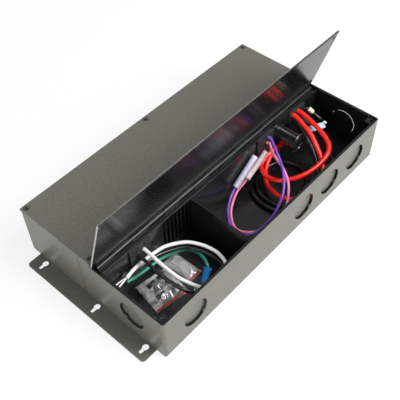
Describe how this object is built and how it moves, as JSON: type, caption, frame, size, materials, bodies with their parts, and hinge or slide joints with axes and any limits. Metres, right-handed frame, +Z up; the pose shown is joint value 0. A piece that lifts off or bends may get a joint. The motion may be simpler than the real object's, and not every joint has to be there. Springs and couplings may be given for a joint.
{
  "type": "led driver",
  "caption": "Black sheet-steel LED driver: screwed driver cover, wiring compartment under an open hinged lid, knockout walls, keyhole ears and loose mains, dimming and output leads.",
  "frame": {"origin": "middle of the footprint at the underside of the base", "axes": "+X along the length, -Y towards the knockout wall of the wiring compartment, +Z up from the base"},
  "size_m": [0.3454, 0.177, 0.1298],
  "materials": {
    "coated_steel": "satin black powder coat",
    "bright_steel": "zinc plated",
    "tinned_copper": "tinned",
    "black_rubber": "matte moulded",
    "black_plastic": "glossy moulded",
    "white_insulation": "extruded, satin",
    "black_insulation": "extruded, satin",
    "green_insulation": "extruded, satin",
    "purple_insulation": "extruded, satin",
    "pink_insulation": "extruded, satin",
    "red_insulation": "extruded, satin",
    "blue_vinyl": "moulded vinyl",
    "green_zinc": "green coated",
    "clear_sleeve": "clear tubing",
    "cream_nylon": "moulded nylon",
    "white_nylon": "moulded nylon",
    "tag_film": "blank folded film",
    "clear_film": "clear bag film",
    "black_screws": "black oxide",
    "board_laminate": "solder mask",
    "ferrite": "sintered, matte",
    "winding": "enamelled copper wire",
    "capacitor_sleeve": "shrunk sleeve",
    "aluminium_angle": "mill finish",
    "transistor_case": "moulded epoxy"
  },
  "bodies": {
    "driver": {"housing": "coated_steel", "driver_cover": "coated_steel", "cover_screws": "coated_steel", "partition": "coated_steel", "divider": "coated_steel", "hinge_rail": "coated_steel", "hinge_fixed_leaf": "coated_steel", "hinge_pin": "bright_steel", "board_posts": "bright_steel", "bare_ends": "tinned_copper", "ring_terminal": "tinned_copper", "input_grommet": "black_rubber", "dimming_grommet": "black_rubber", "output_grommet": "black_rubber", "fuse_holder": "black_plastic", "crimp_barrel": "black_plastic", "ac_white": "white_insulation", "ac_black": "black_insulation", "output_black_a": "black_insulation", "output_black_b": "black_insulation", "spare_lead": "black_insulation", "ground_green": "green_insulation", "dim_purple": "purple_insulation", "dim_pink": "pink_insulation", "output_red_a": "red_insulation", "output_red_b": "red_insulation", "terminal_sleeve": "blue_vinyl", "ground_screw": "green_zinc", "splice_sleeves": "clear_sleeve", "crimp_cap": "cream_nylon", "lead_tip": "white_nylon", "marker_tag": "tag_film", "hardware_bag": "clear_film", "spare_bag": "clear_film", "bag_screws": "black_screws", "circuit_board": "board_laminate", "transformer": "ferrite", "input_choke": "winding", "storage_capacitors": "capacitor_sleeve", "heat_spreader": "aluminium_angle", "power_transistors": "transistor_case"},
    "lid": {"wiring_lid": "coated_steel", "hinge_moving_leaf": "coated_steel"}
  },
  "joints": [
    {"name": "lid_hinge", "type": "hinge", "parent": "driver", "child": "lid", "pos_m": [0, -0.0072, 0.0501], "axis": [1, 0, 0], "range_deg": [-16, 73]}
  ]
}
